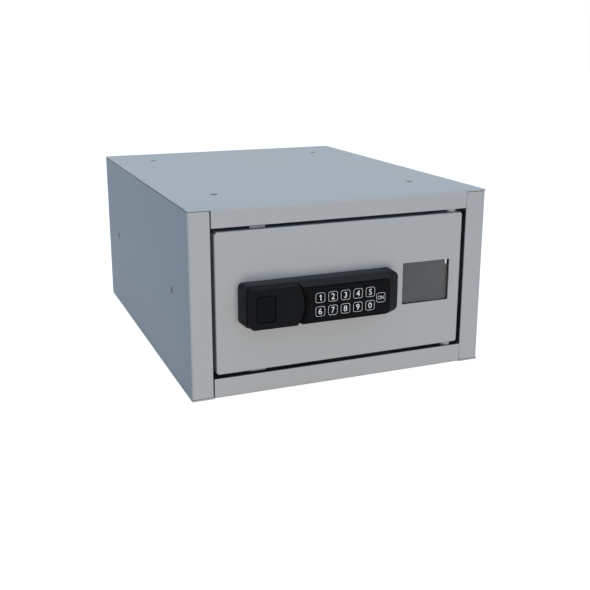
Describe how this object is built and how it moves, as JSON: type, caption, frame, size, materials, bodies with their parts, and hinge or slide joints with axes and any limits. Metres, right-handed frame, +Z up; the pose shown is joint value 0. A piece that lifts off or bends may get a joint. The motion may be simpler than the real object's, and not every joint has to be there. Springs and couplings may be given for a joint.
{
  "type": "in-cabinet safe",
  "caption": "Low steel cabinet safe with a flush hinged door, a clear door window and an electronic keypad lock whose turning knob throws an upper and a lower bolt.",
  "frame": {"origin": "middle of the flat underside of the cabinet, so the cabinet stands on z = 0 and is centred on x and y", "axes": "+X to the right as one faces the door, +Y from the door to the back, +Z up"},
  "size_m": [0.305, 0.4144, 0.1785],
  "materials": {
    "cabinet_paint": "light grey powder coat, fine texture, semi-matt",
    "door_paint": "light grey powder coat, fine texture, semi-matt",
    "zinc_steel": "bright zinc plate on steel",
    "nylon": "light grey nylon",
    "black_rubber": "matt black rubber",
    "window_clear": "clear polycarbonate sheet",
    "lock_plastic": "satin black moulded plastic",
    "keypad_plastic": "satin black with white printed key outlines and digits",
    "silicone": "grey silicone",
    "circuit_board": "green solder mask on a glass fibre board",
    "battery": "plain printed sleeve",
    "motor_case": "plated motor can"
  },
  "bodies": {
    "cabinet": {"top_panel": "cabinet_paint", "bottom_panel": "cabinet_paint", "left_side_panel": "cabinet_paint", "right_side_panel": "cabinet_paint", "back_panel": "cabinet_paint", "upper_pivot_bracket": "zinc_steel", "lower_pivot_bracket": "zinc_steel", "upper_hinge_pin": "zinc_steel", "lower_hinge_pin": "zinc_steel", "upper_hinge_washer": "nylon", "lower_hinge_washer": "nylon", "upper_door_stop": "cabinet_paint", "lower_door_stop": "cabinet_paint", "upper_stop_bumper": "black_rubber", "lower_stop_bumper": "black_rubber"},
    "door": {"door_pan": "door_paint", "window_gasket": "black_rubber", "window_pane": "window_clear", "window_retainer": "zinc_steel", "window_nut_lower_left": "zinc_steel", "window_nut_lower_right": "zinc_steel", "window_nut_upper_left": "zinc_steel", "window_nut_upper_right": "zinc_steel", "bolt_cover": "zinc_steel", "cover_nut_left": "zinc_steel", "cover_nut_right": "zinc_steel", "upper_bolt_guide": "zinc_steel", "lower_bolt_guide": "zinc_steel", "lock_housing": "lock_plastic", "lock_backplate": "zinc_steel", "keypad_plate": "keypad_plastic", "keypad_mat": "silicone", "circuit_board": "circuit_board", "battery_tray": "lock_plastic", "battery_upper": "battery", "battery_lower": "battery", "clutch_motor": "motor_case", "spindle_bush": "nylon", "lock_screw_upper": "zinc_steel", "lock_screw_lower": "zinc_steel", "lock_screw_right": "zinc_steel"},
    "knob": {"knob": "lock_plastic", "knob_insert": "keypad_plastic", "spindle": "zinc_steel", "drive_pinion": "zinc_steel", "spindle_nut": "zinc_steel"},
    "upper_bolt": {"upper_bolt": "zinc_steel"},
    "lower_bolt": {"lower_bolt": "zinc_steel"},
    "key_1": {"key_1": "keypad_plastic"},
    "key_2": {"key_2": "keypad_plastic"},
    "key_3": {"key_3": "keypad_plastic"},
    "key_4": {"key_4": "keypad_plastic"},
    "key_5": {"key_5": "keypad_plastic"},
    "key_6": {"key_6": "keypad_plastic"},
    "key_7": {"key_7": "keypad_plastic"},
    "key_8": {"key_8": "keypad_plastic"},
    "key_9": {"key_9": "keypad_plastic"},
    "key_0": {"key_0": "keypad_plastic"},
    "key_on": {"key_on": "keypad_plastic"}
  },
  "joints": [
    {"name": "door_swing", "type": "hinge", "parent": "cabinet", "child": "door", "pos_m": [0.1175, -0.186, 0.09], "axis": [0, 0, 1], "range_deg": [0, 110]},
    {"name": "knob_turn", "type": "hinge", "parent": "door", "child": "knob", "pos_m": [-0.0828, -0.2, 0.0896], "axis": [0, 1, 0], "range_deg": [0, 90]},
    {"name": "upper_bolt_slide", "type": "slide", "parent": "door", "child": "upper_bolt", "axis": [0, 0, 1], "range_m": [0, 0.01036]},
    {"name": "lower_bolt_slide", "type": "slide", "parent": "door", "child": "lower_bolt", "axis": [0, 0, -1], "range_m": [0, 0.0105]},
    {"name": "key_1_press", "type": "slide", "parent": "door", "child": "key_1", "axis": [0, 1, 0], "range_m": [0, 0.0008], "stiffness_N_per_m": 300, "springref_m": -0.0005},
    {"name": "key_2_press", "type": "slide", "parent": "door", "child": "key_2", "axis": [0, 1, 0], "range_m": [0, 0.0008], "stiffness_N_per_m": 300, "springref_m": -0.0005},
    {"name": "key_3_press", "type": "slide", "parent": "door", "child": "key_3", "axis": [0, 1, 0], "range_m": [0, 0.0008], "stiffness_N_per_m": 300, "springref_m": -0.0005},
    {"name": "key_4_press", "type": "slide", "parent": "door", "child": "key_4", "axis": [0, 1, 0], "range_m": [0, 0.0008], "stiffness_N_per_m": 300, "springref_m": -0.0005},
    {"name": "key_5_press", "type": "slide", "parent": "door", "child": "key_5", "axis": [0, 1, 0], "range_m": [0, 0.0008], "stiffness_N_per_m": 300, "springref_m": -0.0005},
    {"name": "key_6_press", "type": "slide", "parent": "door", "child": "key_6", "axis": [0, 1, 0], "range_m": [0, 0.0008], "stiffness_N_per_m": 300, "springref_m": -0.0005},
    {"name": "key_7_press", "type": "slide", "parent": "door", "child": "key_7", "axis": [0, 1, 0], "range_m": [0, 0.0008], "stiffness_N_per_m": 300, "springref_m": -0.0005},
    {"name": "key_8_press", "type": "slide", "parent": "door", "child": "key_8", "axis": [0, 1, 0], "range_m": [0, 0.0008], "stiffness_N_per_m": 300, "springref_m": -0.0005},
    {"name": "key_9_press", "type": "slide", "parent": "door", "child": "key_9", "axis": [0, 1, 0], "range_m": [0, 0.0008], "stiffness_N_per_m": 300, "springref_m": -0.0005},
    {"name": "key_0_press", "type": "slide", "parent": "door", "child": "key_0", "axis": [0, 1, 0], "range_m": [0, 0.0008], "stiffness_N_per_m": 300, "springref_m": -0.0005},
    {"name": "key_on_press", "type": "slide", "parent": "door", "child": "key_on", "axis": [0, 1, 0], "range_m": [0, 0.0008], "stiffness_N_per_m": 300, "springref_m": -0.0005}
  ],
  "couplings": [
    {"joint": "knob_turn", "follows": "upper_bolt_slide", "rad_per_m": 151.52},
    {"joint": "lower_bolt_slide", "follows": "upper_bolt_slide", "ratio": 1}
  ]
}
